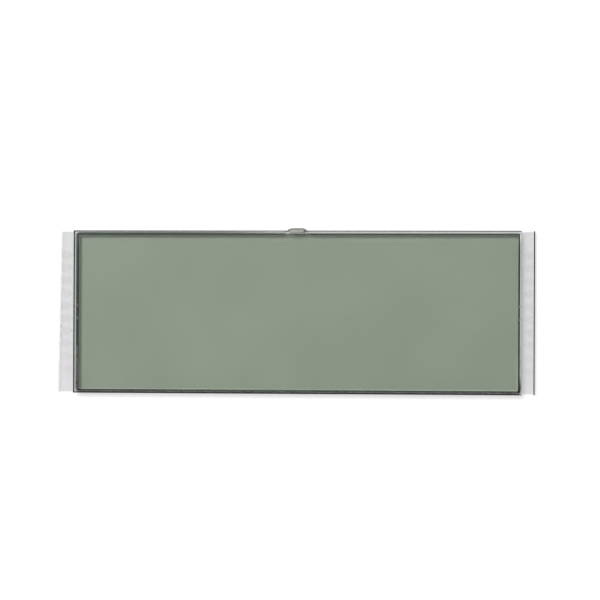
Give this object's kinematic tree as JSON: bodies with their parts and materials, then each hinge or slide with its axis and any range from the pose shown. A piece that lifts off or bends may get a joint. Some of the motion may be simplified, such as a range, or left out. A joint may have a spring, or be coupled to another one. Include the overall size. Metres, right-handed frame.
{
  "type": "lcd_screen",
  "caption": "Flat reflective liquid crystal display cell: two glass plates, grey-green polariser on the smaller front one, bare contact ledges at both ends and a sealed fill port",
  "frame": {"origin": "centre of the underside of the reflector film, the face that the part lies on", "axes": "X along the length between the two contact ledges, Y towards the long edge with the fill port, Z out of the face that is looked at"},
  "size_m": [0.0956, 0.033, 0.0027],
  "materials": {
    "clear_glass": "polished",
    "clear_electrode": "smooth",
    "polariser_film": "semi_gloss",
    "film_adhesive": "soft",
    "reflector_metal": "satin",
    "alignment_polyimide": "smooth",
    "liquid_crystal": "fluid",
    "seal_epoxy": "matte",
    "silver_paste": "matte",
    "uv_acrylic": "gloss"
  },
  "bodies": {
    "root": {"reflector_film": "reflector_metal", "reflector_adhesive": "film_adhesive", "rear_polariser": "polariser_film", "rear_adhesive": "film_adhesive", "rear_glass": "clear_glass", "left_segment_leads": "clear_electrode", "right_segment_leads": "clear_electrode", "left_common_pads": "clear_electrode", "right_common_pads": "clear_electrode", "rear_alignment_layer": "alignment_polyimide", "perimeter_seal": "seal_epoxy", "left_crossover_dots": "silver_paste", "right_crossover_dots": "silver_paste", "liquid_crystal": "liquid_crystal", "end_seal": "uv_acrylic", "front_alignment_layer": "alignment_polyimide", "common_electrode_1": "clear_electrode", "common_electrode_2": "clear_electrode", "common_electrode_3": "clear_electrode", "common_electrode_4": "clear_electrode", "front_glass": "clear_glass", "front_adhesive": "film_adhesive", "front_polariser": "polariser_film"}
  },
  "joints": []
}
